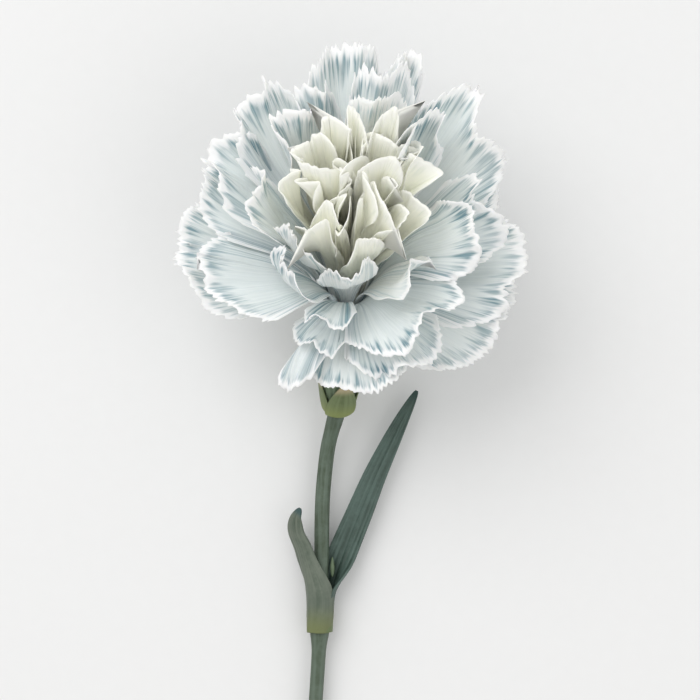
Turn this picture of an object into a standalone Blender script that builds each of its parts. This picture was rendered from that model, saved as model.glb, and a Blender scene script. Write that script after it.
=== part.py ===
"""A cut carnation lying on a surface, as named pieces at their real size.

A double bloom sits in a tubular calyx at the end of a slim stem. Four bracts clasp the foot of the
calyx, and one pair of leaves sheathes the stem at a joint, with a small bud in the axil of the long
leaf. The flower lies down: its cut end and the outer petals under the bloom touch the surface, and
the face of the bloom looks up.

Frame: metres, +Z up, the surface at Z = 0, +Y from the cut end towards the bloom, and the origin on
the surface under the middle of the flower's box.
"""

import math

import bmesh
import bpy
from mathutils import Vector

MM = 0.001

# ---- Driving dimensions -------------------------------------------------------------------------
BLOOM_CENTRE = Vector((0.8, 68.4, 33.8)) * MM
HEAD_REACH = 50 * MM  # from the foot of the calyx to the centre of the bloom
HEAD_TILT = math.radians(32)  # the calyx, above the surface
HEAD_YAW = math.radians(5)  # the calyx, towards +X
FACE_TILT = math.radians(75)  # the way that the bloom opens, above the surface

CALYX_LENGTH = 29 * MM  # with its teeth
CALYX_TOOTH = 5.5 * MM
CALYX_TEETH = 5
CALYX_WALL = 0.5 * MM
CALYX_PROFILE = [  # height above the foot and radius of the middle of the wall, in mm
    (0.4, 2.0),
    (1.5, 2.9),
    (4.0, 3.5),
    (8.0, 4.1),
    (16.0, 5.0),
    (23.5, 5.8),
    (29.0, 6.4),
]

STEM_RADIUS = 1.72 * MM
STEM_CUT_RADIUS = 1.55 * MM
STEM_TOP_RADIUS = 1.95 * MM
JOINT_RADIUS = 2.3 * MM  # the swelling where the leaves grow
JOINT_Y = -24.1 * MM
JOINT_SPREAD = 3.0 * MM  # how far the swelling runs along the stem
CUT_ANGLE = math.radians(40)
STEM_ROUTE = [  # the centre line from the cut end, in mm; the foot of the calyx is its last point
    (-13.6, -108.1, 1.4),
    (-9.9, -68.6, 2.35),
    (-7.7, -38.6, 3.4),
    (-6.9, -24.1, 3.9),
    (-6.5, -8.6, 4.1),
    (-6.3, 4.4, 4.1),
    (-5.7, 12.4, 4.2),
    (-4.8, 18.9, 4.8),
]

CLAW_SPACING = 0.62 * MM  # between the rings of claws at the calyx mouth
CLAW_FOOT_SPACING = 0.33 * MM  # and at their foot, on the receptacle
CLAW_HALF_WIDTH = 1.1 * MM
MOST_OF_HALF_WIDTH = 0.8  # a claw's width, as a share of its petal's, at most
CLAW_FOOT_HEIGHT = 7.0 * MM
CLAW_SHARE = 0.25  # of a petal's rows
RECEPTACLE_GAP = 0.3 * MM
PETAL_THICKNESS = 0.3 * MM
PETAL_ROUNDING = 0.20  # how much shorter a petal is at its sides
REST_HEIGHT = 0.16 * MM  # middle of a petal that lies on the surface
LAYER_HEIGHT = 0.9 * MM  # each ring inside it lies this much higher

LEAF_THICKNESS = 0.6 * MM
SHEATH_RADIUS = 2.85 * MM
SHEATH_HALF_ANGLE = math.radians(78)
BRACT_THICKNESS = 0.3 * MM
BRACT_CLEARANCE = 0.2 * MM
BRACT_LENGTH = 10.5 * MM
BRACT_SHOULDER = 0.75  # share of a bract below its drawn-out point
BRACT_TAPER = 0.55
BRACT_POINT = 0.04  # width left at the very tip, as a share


class Petal:
    """Where one petal of the bloom points, and how large it is.

    The azimuth runs round the face of the bloom, with 90 on the side towards the stem and -90 on the
    side that lies on the surface. The opening is the angle between the face and the petal's tip.
    """

    def __init__(self, azimuth, opening, width, reach):
        self.azimuth = math.radians(azimuth)
        self.opening = math.radians(opening)
        self.half_width = math.radians(width) / 2
        self.reach = reach * MM  # from the centre of the bloom to the tip


class Ring:
    """One whorl of petals, and how far its tips bend back."""

    def __init__(self, reflex, petals):
        self.reflex = math.radians(reflex)
        self.petals = [Petal(*values) for values in petals]


# From the outermost whorl to the innermost: azimuth, opening, width in degrees, reach in mm.
RINGS = [
    Ring(
        42,
        [
            (83, 110, 36, 38),
            (112, 112, 18, 41),
            (156, 117, 44, 41.5),
            (-157, 130, 42, 38),
            (-109, 141, 44, 39.5),
            (-63, 141, 42, 39.5),
            (-15, 128, 44, 38),
            (40, 112, 44, 42.5),
        ],
    ),
    Ring(
        36,
        [
            (-99, 98, 30, 42.5),
            (-76, 98, 13, 41),
            (-40, 90, 50, 39),
            (26, 98, 44, 40.5),
            (68, 101, 34, 35),
            (108, 103, 36, 35),
            (151, 98, 46, 38),
            (-169, 103, 28, 38),
            (-136, 92, 32, 37.5),
        ],
    ),
    Ring(
        32,
        [
            (-117, 84, 26, 33),
            (-82, 82, 32, 36),
            (-43, 76, 32, 34),
            (6, 84, 42, 34.5),
            (57, 90, 52, 33),
            (98, 86, 24, 30),
            (131, 84, 34, 32),
            (-168, 90, 36, 37),
        ],
    ),
    Ring(
        28,
        [
            (-80, 62, 44, 35),
            (-42, 60, 24, 34),
            (17, 74, 36, 33.5),
            (51, 74, 26, 32),
            (88, 70, 40, 29),
            (130, 68, 36, 30),
            (172, 74, 40, 31.5),
            (-142, 66, 44, 33),
        ],
    ),
    Ring(
        20,
        [
            (16, 58, 62, 32),
            (70, 50, 42, 28.5),
            (124, 50, 42, 29),
            (171, 54, 46, 29.5),
            (-124, 46, 50, 32),
            (-62, 44, 50, 33),
        ],
    ),
    Ring(
        10,
        [
            (-92, 34, 64, 31),
            (-22, 36, 64, 30),
            (48, 36, 64, 28.5),
            (118, 36, 64, 28.5),
            (-166, 36, 64, 29.5),
        ],
    ),
    Ring(4, [(-60, 23, 100, 30), (60, 23, 100, 28), (180, 23, 100, 28.5)]),
    Ring(0, [(-10, 10, 140, 28), (170, 10, 140, 27.5)]),
]


# ---- Directions of the head ---------------------------------------------------------------------
def head_direction(tilt):
    """Unit vector at that angle above the surface, in the upright plane of the head."""
    level = math.cos(tilt)
    return Vector((math.sin(HEAD_YAW) * level, math.cos(HEAD_YAW) * level, math.sin(tilt)))


SIDEWAYS = Vector((math.cos(HEAD_YAW), -math.sin(HEAD_YAW), 0.0))
AXIS = head_direction(HEAD_TILT)
AXIS_UP = head_direction(HEAD_TILT + math.pi / 2)
FACE = head_direction(FACE_TILT)
FACE_UP = head_direction(FACE_TILT + math.pi / 2)
CALYX_FOOT = BLOOM_CENTRE - AXIS * HEAD_REACH
CALYX_MOUTH = CALYX_FOOT + AXIS * CALYX_LENGTH


def around_axis(azimuth):
    """Unit vector square to the calyx, at that azimuth."""
    return SIDEWAYS * math.cos(azimuth) + AXIS_UP * math.sin(azimuth)


def around_face(azimuth):
    """Unit vector square to the face of the bloom, at that azimuth."""
    return SIDEWAYS * math.cos(azimuth) + FACE_UP * math.sin(azimuth)


def in_calyx(height, radius, azimuth):
    """Point in the calyx, by its height above the foot and its distance from the axis."""
    return CALYX_FOOT + AXIS * height + around_axis(azimuth) * radius


# ---- Curves -------------------------------------------------------------------------------------
def smooth_step(x):
    """0 below 0, 1 above 1, and smooth in between."""
    x = min(max(x, 0.0), 1.0)
    return x * x * (3 - 2 * x)


def mix(a, b, share):
    """From a at share 0 to b at share 1."""
    return a + (b - a) * share


def bezier(a, b, c, d, t):
    """Point at t on the cubic with those control points."""
    s = 1 - t
    return a * s**3 + b * (3 * s * s * t) + c * (3 * s * t * t) + d * t**3


def through(points, t):
    """Point at t, from 0 to 1, on a smooth curve through those points."""
    last = len(points) - 1
    i = min(int(t * last), last - 1)
    x = t * last - i
    b, c = points[i], points[i + 1]
    a = points[i - 1] if i else b * 2 - c
    d = points[i + 2] if i + 2 <= last else c * 2 - b
    linear, square, cube = c - a, a * 2 - b * 5 + c * 4 - d, b * 3 - a - c * 3 + d
    return (b * 2 + linear * x + square * x**2 + cube * x**3) * 0.5


def calyx_radius(height):
    """Radius of the middle of the calyx wall at that height above its foot."""
    for (low, inner), (high, outer) in zip(CALYX_PROFILE, CALYX_PROFILE[1:]):
        if height <= high * MM:
            return mix(inner, outer, max(0.0, height / MM - low) / (high - low)) * MM
    return CALYX_PROFILE[-1][1] * MM


def eased_up(point, clearance):
    """The point, lifted smoothly so that it never goes under that clearance."""
    softness = 0.5 * MM
    depth = (point.z - clearance) / softness
    if depth < 8:
        point.z = clearance + softness * math.log1p(math.exp(max(depth, -30)))
    return point


# ---- Making pieces ------------------------------------------------------------------------------
def make_material(name, colour, roughness):
    """A plain finish for one kind of piece."""
    material = bpy.data.materials.new(name)
    material.use_nodes = True
    shader = material.node_tree.nodes["Principled BSDF"]
    shader.inputs["Base Color"].default_value = (*colour, 1.0)
    shader.inputs["Roughness"].default_value = roughness
    shader.inputs["Metallic"].default_value = 0.0
    return material


def add_object(name, mesh, material, collection):
    """A named, smoothly shaded object with that mesh and finish."""
    mesh.materials.append(material)
    mesh.shade_smooth()
    piece = bpy.data.objects.new(name, mesh)
    collection.objects.link(piece)
    return piece


def make_sheet(name, surface, grid, thickness, material, collection):
    """A thin solid: a grid of columns and rows laid on surface(u, v), and given a wall.

    u runs along the sheet from 0 to 1, and v across it from -1 to 1. A sheet whose sides meet, as a
    tube's do, is joined there.
    """
    shell = bmesh.new()
    bmesh.ops.create_grid(shell, x_segments=grid[0], y_segments=grid[1], size=1.0)
    for vertex in shell.verts:
        vertex.co = surface((vertex.co.y + 1) / 2, vertex.co.x)
    bmesh.ops.remove_doubles(shell, verts=shell.verts, dist=0.01 * MM)
    mesh = bpy.data.meshes.new(name)
    shell.to_mesh(mesh)
    shell.free()
    piece = add_object(name, mesh, material, collection)
    wall = piece.modifiers.new("Wall", "SOLIDIFY")
    wall.thickness = thickness
    wall.offset = 0.0
    return piece


# ---- Petals -------------------------------------------------------------------------------------
def claw_ring(level, share):
    """Distance of a whorl's claws from the axis: share from 0 at their foot to 1 at the mouth."""
    rank = len(RINGS) - level
    foot, mouth = CLAW_FOOT_SPACING * rank + 0.5 * MM, CLAW_SPACING * rank + 0.15 * MM
    return mix(foot, mouth, share)


def blade_point(level, petal, azimuth, t):
    """Point of a petal's blade at that azimuth: t from 0 at the calyx mouth to 1 at the tip."""
    start = CALYX_MOUTH + around_axis(azimuth) * claw_ring(level, 1.0)
    outward = around_face(azimuth)
    radial = FACE * math.cos(petal.opening) + outward * math.sin(petal.opening)
    backward = outward * math.cos(petal.opening) - FACE * math.sin(petal.opening)
    reflex = RINGS[level].reflex
    tip = BLOOM_CENTRE + radial * petal.reach
    length = (tip - start).length
    first = start + (AXIS + around_axis(azimuth) * 0.25).normalized() * length * 0.36
    last = tip - (radial * math.cos(reflex) + backward * math.sin(reflex)) * length * 0.42
    return bezier(start, first, last, tip, t)


def petal_surface(level, petal):
    """The middle surface of one petal: u along it and v across it."""
    claw_angle = min(CLAW_HALF_WIDTH / claw_ring(level, 1.0), petal.half_width * MOST_OF_HALF_WIDTH)

    def surface(u, v):
        if u < CLAW_SHARE:
            share = u / CLAW_SHARE
            height = mix(CLAW_FOOT_HEIGHT, CALYX_LENGTH, share)
            return in_calyx(height, claw_ring(level, share), petal.azimuth + v * claw_angle)
        t = (u - CLAW_SHARE) / (1 - CLAW_SHARE)
        spread = mix(claw_angle, petal.half_width, smooth_step(t * 1.5))
        rounded = t * (1 - PETAL_ROUNDING * abs(v) ** 2.6)
        point = blade_point(level, petal, petal.azimuth + v * spread, rounded)
        return eased_up(point, REST_HEIGHT + LAYER_HEIGHT * level)

    return surface


def make_petals(collection):
    """Every petal of the bloom, whorl by whorl."""
    tinted = make_material("petal_tinted", (0.62, 0.72, 0.74), 0.6)
    cream = make_material("petal_cream", (0.86, 0.87, 0.76), 0.6)
    for level, ring in enumerate(RINGS):
        finish = tinted if level < 4 else cream
        for number, petal in enumerate(ring.petals, 1):
            name = f"petal_{level + 1}_{number}"
            surface = petal_surface(level, petal)
            make_sheet(name, surface, (4, 8), PETAL_THICKNESS, finish, collection)


# ---- Receptacle, calyx and bracts ---------------------------------------------------------------
def make_receptacle(material, collection):
    """The solid end of the stem inside the calyx, turned, with the claws standing on its top."""
    top = CLAW_FOOT_HEIGHT - RECEPTACLE_GAP
    outline = [(0.0, top), (3.2 * MM, top), (3.1 * MM, 5.2 * MM), (2.6 * MM, 2.2 * MM)]
    outline += [(1.6 * MM, 0.6 * MM), (0.0, 0.6 * MM)]
    profile = bmesh.new()
    corners = [profile.verts.new((radius, 0.0, height)) for radius, height in outline]
    for a, b in zip(corners, corners[1:]):
        profile.edges.new((a, b))
    mesh = bpy.data.meshes.new("receptacle")
    profile.to_mesh(mesh)
    profile.free()
    piece = add_object("receptacle", mesh, material, collection)
    turned = piece.modifiers.new("Turned", "SCREW")
    turned.steps = turned.render_steps = 16
    turned.use_merge_vertices = True
    turned.merge_threshold = 0.00005
    piece.location = CALYX_FOOT
    piece.rotation_mode = "QUATERNION"
    piece.rotation_quaternion = AXIS.to_track_quat("Z", "Y")


def calyx_surface(u, v):
    """The calyx tube, with teeth along its mouth."""
    phase = (v + 1) / 2 * CALYX_TEETH % 1.0
    tooth = CALYX_TOOTH * (1 - abs(2 * phase - 1))
    top = CALYX_LENGTH - CALYX_TOOTH + tooth
    height = mix(CALYX_PROFILE[0][0] * MM, top, u**1.6)
    return in_calyx(height, calyx_radius(height), math.pi * v)


def bract_surface(azimuth, layer, half_angle):
    """One bract, broad at its foot and drawn out to a point; layer 1 clasps the one of layer 0."""
    step = BRACT_THICKNESS + BRACT_CLEARANCE
    lift = (CALYX_WALL + BRACT_THICKNESS) / 2 + BRACT_CLEARANCE + step * layer

    def surface(u, v):
        height = 0.7 * MM + BRACT_LENGTH * u
        if u < BRACT_SHOULDER:
            taper = (1 - u) ** BRACT_TAPER
        else:
            shoulder = (1 - BRACT_SHOULDER) ** BRACT_TAPER
            taper = mix(shoulder, BRACT_POINT, (u - BRACT_SHOULDER) / (1 - BRACT_SHOULDER))
        angle = half_angle * taper * (1 - 0.12 * math.cos(math.pi * u))
        return in_calyx(height, calyx_radius(height) + lift, azimuth + angle * v)

    return surface


def make_calyx(collection):
    """The calyx and the two pairs of bracts that clasp its foot."""
    green = make_material("calyx_green", (0.25, 0.33, 0.18), 0.5)
    make_receptacle(green, collection)
    make_sheet("calyx", calyx_surface, (4 * CALYX_TEETH, 10), CALYX_WALL, green, collection)
    bracts = [
        ("bract_inner_left", 165, 0, 58),
        ("bract_inner_right", -15, 0, 58),
        ("bract_outer_front", 75, 1, 56),
        ("bract_outer_back", -105, 1, 56),
    ]
    for name, azimuth, layer, half_angle in bracts:
        surface = bract_surface(math.radians(azimuth), layer, math.radians(half_angle))
        make_sheet(name, surface, (6, 8), BRACT_THICKNESS, green, collection)


# ---- Stem, leaves and bud -----------------------------------------------------------------------
def stem_centre(t):
    """Point of the stem's centre line: t from 0 at the cut end to 1 at the calyx."""
    return through([Vector(point) * MM for point in STEM_ROUTE] + [CALYX_FOOT], t)


def stem_radius(point, t):
    """The stem's radius there: slimmer towards the cut, swollen at the joint."""
    plain = mix(STEM_CUT_RADIUS, STEM_RADIUS, smooth_step(t * 1.6))
    flare = (STEM_TOP_RADIUS - STEM_RADIUS) * smooth_step((t - 0.9) / 0.1)
    swelling = math.exp(-(((point.y - JOINT_Y) / JOINT_SPREAD) ** 2))
    return plain + flare + (JOINT_RADIUS - STEM_RADIUS) * swelling


def make_stem(collection):
    """The stem, as a tapered tube along its route, with a slanting cut at its foot."""
    green = make_material("stem_green", (0.12, 0.17, 0.09), 0.5)
    count = 56
    route = bpy.data.curves.new("stem_route", "CURVE")
    route.dimensions = "3D"
    route.bevel_depth = 1.0
    route.bevel_resolution = 3
    route.use_fill_caps = True
    spline = route.splines.new("POLY")
    spline.points.add(count - 1)
    for i, knot in enumerate(spline.points):
        t = i / (count - 1)
        centre = stem_centre(t)
        knot.co = (*centre, 1.0)
        knot.radius = stem_radius(centre, t)
    tube = bpy.data.objects.new("stem_tube", route)
    collection.objects.link(tube)
    graph = bpy.context.evaluated_depsgraph_get()
    mesh = bpy.data.meshes.new_from_object(tube.evaluated_get(graph))
    mesh.name = "stem"
    bpy.data.objects.remove(tube)

    solid = bmesh.new()
    solid.from_mesh(mesh)
    bmesh.ops.remove_doubles(solid, verts=solid.verts, dist=0.01 * MM)
    along = (stem_centre(0.02) - stem_centre(0.0)).normalized()
    slant = along * math.cos(CUT_ANGLE) + Vector((0, 0, math.sin(CUT_ANGLE)))
    edges = solid.verts[:] + solid.edges[:] + solid.faces[:]
    place = stem_centre(0.0) + along * 1.5 * MM
    bmesh.ops.bisect_plane(solid, geom=edges, plane_co=place, plane_no=slant, clear_inner=True)
    bmesh.ops.holes_fill(solid, edges=solid.edges, sides=0)
    bmesh.ops.recalc_face_normals(solid, faces=solid.faces)
    solid.to_mesh(mesh)
    solid.free()
    add_object("stem", mesh, green, collection)


class Leaf:
    """A leaf whose foot sheathes the stem and whose blade is a shallow channel."""

    def __init__(self, route, turn, width, opening):
        self.route = [Vector(point) * MM for point in route]  # the midrib, in mm
        self.turn = turn  # which way the back of the leaf faces, at its foot and at its tip
        self.width = width * MM  # half the width of the blade
        self.opening = opening * MM  # radius of the channel at mid-blade

    def surface(self, u, v):
        """Point of the leaf: u from its foot to its tip, v across it."""
        rib = through(self.route, u)
        along = through(self.route, min(u + 0.01, 1.0)) - through(self.route, max(u - 0.01, 0.0))
        along.normalize()
        turn = math.radians(mix(*self.turn, smooth_step(u * 1.6)))
        back = Vector((math.cos(turn), 0.0, math.sin(turn)))
        back = (back - along * back.dot(along)).normalized()
        side = along.cross(back)
        blade = smooth_step((u - 0.16) / 0.34)
        radius = mix(SHEATH_RADIUS, self.opening, blade)
        taper = (1 - u) ** 0.6 * (1 + 0.9 * u)
        reach = mix(SHEATH_RADIUS * SHEATH_HALF_ANGLE, self.width, blade)
        angle = v * reach * mix(1.0, max(taper, 0.03), smooth_step(u * 2)) / radius
        return rib + side * radius * math.sin(angle) - back * radius * (1 - math.cos(angle))


LONG_LEAF = Leaf(
    [
        (-4.6, -24.6, 2.25),
        (-4.3, -16.6, 2.3),
        (-3.0, -11.1, 2.5),
        (-1.1, -5.8, 2.8),
        (2.2, 2.4, 3.4),
        (5.9, 11.4, 3.9),
        (10.7, 21.4, 4.2),
        (15.5, 30.9, 4.0),
    ],
    (-35, -80),
    3.5,
    7.0,
)
SHORT_LEAF = Leaf(
    [
        (-9.2, -24.6, 5.5),
        (-9.0, -17.6, 5.7),
        (-9.4, -12.1, 6.2),
        (-10.9, -6.1, 7.0),
        (-12.5, -1.6, 7.7),
        (-12.6, 1.6, 8.3),
        (-11.3, 4.0, 8.5),
    ],
    (145, 130),
    2.9,
    4.2,
)


def make_leaves(collection):
    """The pair of leaves at the joint, and the bud between the long one and the stem."""
    green = make_material("leaf_green", (0.10, 0.17, 0.13), 0.5)
    make_sheet("leaf_long", LONG_LEAF.surface, (6, 18), LEAF_THICKNESS, green, collection)
    make_sheet("leaf_short", SHORT_LEAF.surface, (6, 14), LEAF_THICKNESS, green, collection)
    bud = bmesh.new()
    bmesh.ops.create_uvsphere(bud, u_segments=10, v_segments=8, radius=1.0)
    mesh = bpy.data.meshes.new("axillary_bud")
    for vertex in bud.verts:
        vertex.co.x *= 0.5 * MM
        vertex.co.y *= 0.5 * MM
        vertex.co.z *= 2.4 * MM
    bud.to_mesh(mesh)
    bud.free()
    piece = add_object("axillary_bud", mesh, green, collection)
    piece.location = Vector((-3.95, -9.6, 4.9)) * MM
    piece.rotation_euler = (math.radians(-86), 0.0, math.radians(-7))


def main():
    """Clears the scene and builds the flower."""
    for leftover in list(bpy.data.objects):
        bpy.data.objects.remove(leftover)
    carnation = bpy.data.collections.new("cut_carnation")
    bpy.context.scene.collection.children.link(carnation)
    make_petals(carnation)
    make_calyx(carnation)
    make_stem(carnation)
    make_leaves(carnation)


main()
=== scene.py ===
"""The looks of a cut carnation: ruffled petals, calyx, bracts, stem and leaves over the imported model.

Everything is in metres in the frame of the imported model: +Z up, the surface at Z = 0, and +Y from
the cut end of the stem towards the bloom. Each petal is a fan of tissue on a narrow claw. Its blade
follows a smooth curve out of the calyx, turns up or back towards its margin, and is ruffled there.
"""

import logging
import math
import random
from collections.abc import Callable
from dataclasses import dataclass, field
from enum import Enum

import bmesh
import bpy
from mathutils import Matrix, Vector, noise


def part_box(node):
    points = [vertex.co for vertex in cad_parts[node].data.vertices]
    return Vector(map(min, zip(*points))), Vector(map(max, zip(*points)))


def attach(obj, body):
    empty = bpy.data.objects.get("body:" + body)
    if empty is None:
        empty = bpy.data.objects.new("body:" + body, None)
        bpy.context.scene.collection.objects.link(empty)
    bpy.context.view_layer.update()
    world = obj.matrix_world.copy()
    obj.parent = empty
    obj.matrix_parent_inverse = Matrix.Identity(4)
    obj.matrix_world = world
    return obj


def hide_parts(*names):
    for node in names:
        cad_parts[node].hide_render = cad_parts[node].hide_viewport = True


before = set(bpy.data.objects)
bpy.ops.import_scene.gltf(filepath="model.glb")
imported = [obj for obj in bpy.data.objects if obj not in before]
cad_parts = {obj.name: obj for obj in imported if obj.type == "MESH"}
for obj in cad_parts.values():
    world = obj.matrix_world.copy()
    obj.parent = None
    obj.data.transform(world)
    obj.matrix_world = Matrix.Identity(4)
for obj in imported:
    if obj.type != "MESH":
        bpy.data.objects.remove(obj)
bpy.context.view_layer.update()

MM = 0.001
BODY = "root"
LOG = logging.getLogger("carnation")

Surface = Callable[[float, float], Vector]
Marking = Callable[[float, float], tuple[float, float]]


# ---- Numbers and curves -------------------------------------------------------------------------
def smooth_step(x: float) -> float:
    """0 below 0, 1 above 1, and smooth in between."""
    x = min(max(x, 0.0), 1.0)
    return x * x * (3 - 2 * x)


def mix(a, b, share: float):
    """From a at share 0 to b at share 1, for numbers and vectors alike."""
    return a + (b - a) * share


def bezier(points: list[Vector], t: float) -> Vector:
    """Point at t on the cubic with those four control points."""
    a, b, c, d = points
    s = 1 - t
    return a * s**3 + b * (3 * s * s * t) + c * (3 * s * t * t) + d * t**3


def through(points: list[Vector], t: float) -> Vector:
    """Point at t on a smooth curve through a list of points.

    Args:
        points: the points that the curve passes, in order.
        t: 0 at the first of them and 1 at the last.

    Returns:
        The point on a Catmull-Rom curve.
    """
    last = len(points) - 1
    i = min(int(t * last), last - 1)
    x = t * last - i
    b, c = points[i], points[i + 1]
    a = points[i - 1] if i else b * 2 - c
    d = points[i + 2] if i + 2 <= last else c * 2 - b
    linear, square, cube = c - a, a * 2 - b * 5 + c * 4 - d, b * 3 - a - c * 3 + d
    return (b * 2 + linear * x + square * x**2 + cube * x**3) * 0.5


def wave(x: float, seed: float) -> float:
    """Smooth noise between about -1 and 1, with one swell for each unit of x."""
    return noise.noise(Vector((x, seed, seed * 0.37))) * 1.6


# ---- Colours and node trees ---------------------------------------------------------------------
def linear(colour: str) -> tuple[float, float, float, float]:
    """Linear RGBA of an sRGB hex colour such as "#C9D6D3"."""
    parts = [int(colour[i : i + 2], 16) / 255 for i in (1, 3, 5)]
    red, green, blue = [p / 12.92 if p <= 0.04045 else ((p + 0.055) / 1.055) ** 2.4 for p in parts]
    return red, green, blue, 1.0


def add_node(tree: bpy.types.NodeTree, kind: str, settings: dict | None = None, links: dict | None = None):
    """Adds one node to a tree.

    Args:
        tree: the node tree.
        kind: the node's type, such as "ShaderNodeMix".
        settings: attributes of the node, or with a number as key, default values of its inputs.
        links: output sockets to feed its inputs, by input name or number.

    Returns:
        The new node.
    """
    node = tree.nodes.new(kind)
    for key, value in (settings or {}).items():
        if isinstance(key, int):
            node.inputs[key].default_value = value
        else:
            setattr(node, key, value)
    for key, socket in (links or {}).items():
        tree.links.new(socket, node.inputs[key])
    return node


class Painter:
    """Builds one material's node tree from a few kinds of step."""

    def __init__(self, name: str) -> None:
        """Makes an empty node material with a Principled shader."""
        self.material = bpy.data.materials.new(name)
        self.material.use_nodes = True
        self.tree = self.material.node_tree
        self.shader = self.tree.nodes["Principled BSDF"]

    def add(self, kind: str, settings: dict | None = None, links: dict | None = None):
        """Adds a node, as add_node does."""
        return add_node(self.tree, kind, settings, links)

    def sum(self, operation: str, a, b):
        """Output of a Math node; a and b are sockets or numbers."""
        node = self.add("ShaderNodeMath", {"operation": operation})
        for i, value in enumerate((a, b)):
            if isinstance(value, (int, float)):
                node.inputs[i].default_value = value
            else:
                self.tree.links.new(value, node.inputs[i])
        return node.outputs[0]

    def ramp(self, value, low: float, high: float, start: float = 0.0, end: float = 1.0):
        """Smooth change from start to end while a socket's value goes from low to high."""
        node = self.add("ShaderNodeMapRange", {"interpolation_type": "SMOOTHSTEP"}, {0: value})
        for i, number in enumerate((low, high, start, end), 1):
            node.inputs[i].default_value = number
        return node.outputs[0]

    def blend(self, share, a, b, mode: str = "MIX"):
        """Output of a colour Mix node; a and b are sockets or hex colours."""
        node = self.add("ShaderNodeMix", {"data_type": "RGBA", "blend_type": mode}, {0: share})
        for i, value in ((6, a), (7, b)):
            if isinstance(value, str):
                node.inputs[i].default_value = linear(value)
            else:
                self.tree.links.new(value, node.inputs[i])
        return node.outputs[2]

    def noise(self, vector, scale: float, detail: float = 2.0, roughness: float = 0.5):
        """Value of a Noise node."""
        node = self.add("ShaderNodeTexNoise", {"normalize": True}, {"Vector": vector})
        node.inputs["Scale"].default_value = scale
        node.inputs["Detail"].default_value = detail
        node.inputs["Roughness"].default_value = roughness
        return node.outputs[0]

    def stretched(self, vector, scale: tuple[float, float, float]):
        """A vector with each of its axes scaled."""
        node = self.add("ShaderNodeMapping", {}, {"Vector": vector})
        node.inputs["Scale"].default_value = scale
        return node.outputs[0]

    def bump(self, height, strength: float, distance: float) -> None:
        """Gives the shader a bump of that height socket."""
        node = self.add("ShaderNodeBump", {}, {"Height": height})
        node.inputs["Strength"].default_value = strength
        node.inputs["Distance"].default_value = distance
        self.tree.links.new(node.outputs[0], self.shader.inputs["Normal"])

    def set(self, **values) -> None:
        """Sets constant values on the shader's own sockets, by name with _ for a space."""
        for name, value in values.items():
            self.shader.inputs[name.replace("_", " ")].default_value = value

    def colour(self, socket) -> None:
        """Feeds the shader's base colour."""
        self.tree.links.new(socket, self.shader.inputs["Base Color"])


# ---- Finishes -----------------------------------------------------------------------------------
@dataclass(frozen=True)
class PetalFinish:
    """Living petal tissue: matt, soft and thin enough for light to sink in.

    The map named "tissue" holds millimetres: across the veins, and in from the margin. Strokes of
    pigment run along the veins behind a white margin.
    """

    name: str
    blade: str
    throat: str
    stroke: str
    margin: str
    strength: float  # of the strokes
    reach: float  # how far the strokes run in from the margin, in mm
    glow: float  # share of the light that sinks in
    sinks: float  # how far it spreads there, in mm
    vein_grain: tuple[float, float, float] = (1.9, 0.10, 1.0)  # swells a mm, across and along
    stroke_grain: tuple[float, float, float] = (0.85, 0.07, 1.0)
    patch_grain: tuple[float, float, float] = (0.13, 0.03, 1.0)
    outer_wander: float = 5.5  # how unevenly the strokes begin behind the margin, in mm
    inner_wander: float = -15.0  # and how unevenly they end; a long stroke is long at both ends
    strokes_begin: tuple[float, float] = (1.0, 2.6)  # mm in from the margin
    margin_ends: tuple[float, float] = (0.6, 3.4)
    throat_begins: tuple[float, float] = (13.0, 27.0)
    vein_relief: float = 0.25 * MM

    def make(self) -> bpy.types.Material:
        """Builds the material."""
        paint = Painter(self.name)
        tissue = paint.add("ShaderNodeUVMap", {"uv_map": "tissue"}).outputs[0]
        depth = paint.add("ShaderNodeSeparateXYZ", {}, {0: tissue}).outputs[1]
        veins = paint.noise(paint.stretched(tissue, self.vein_grain), 1.0, 3.0, 0.6)
        strokes = paint.noise(paint.stretched(tissue, self.stroke_grain), 1.0, 2.0, 0.6)
        patches = paint.noise(paint.stretched(tissue, self.patch_grain), 1.0, 1.0, 0.5)
        lean = paint.sum("SUBTRACT", strokes, 0.5)
        ragged = paint.sum("ADD", depth, paint.sum("MULTIPLY", lean, self.outer_wander))
        inner = paint.sum("ADD", depth, paint.sum("MULTIPLY", lean, self.inner_wander))
        fading = paint.ramp(inner, self.reach * 0.25, self.reach, 1.0, 0.0)
        band = paint.sum("MULTIPLY", paint.ramp(ragged, *self.strokes_begin), fading)
        hatched = paint.sum("MULTIPLY", band, paint.ramp(veins, 0.34, 0.60, 0.35, 1.0))
        uneven = paint.sum("MULTIPLY", hatched, paint.ramp(patches, 0.30, 0.62, 0.45, 1.0))
        share = paint.sum("MULTIPLY", uneven, self.strength)
        ground = paint.blend(paint.ramp(depth, *self.throat_begins), self.blade, self.throat)
        faint = paint.ramp(veins, 0.35, 0.65, 0.0, 0.09)
        ground = paint.blend(faint, ground, self.stroke)
        edged = paint.blend(paint.ramp(ragged, *self.margin_ends, 1.0, 0.0), ground, self.margin)
        paint.colour(paint.blend(share, edged, self.stroke))
        paint.bump(veins, 0.35, self.vein_relief)
        paint.set(Roughness=0.62, Specular_IOR_Level=0.25, Sheen_Weight=0.08)
        paint.set(Subsurface_Weight=self.glow, Subsurface_Scale=self.sinks * MM)
        paint.set(Subsurface_Radius=(1.0, 1.0, 0.8))
        return paint.material


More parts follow.
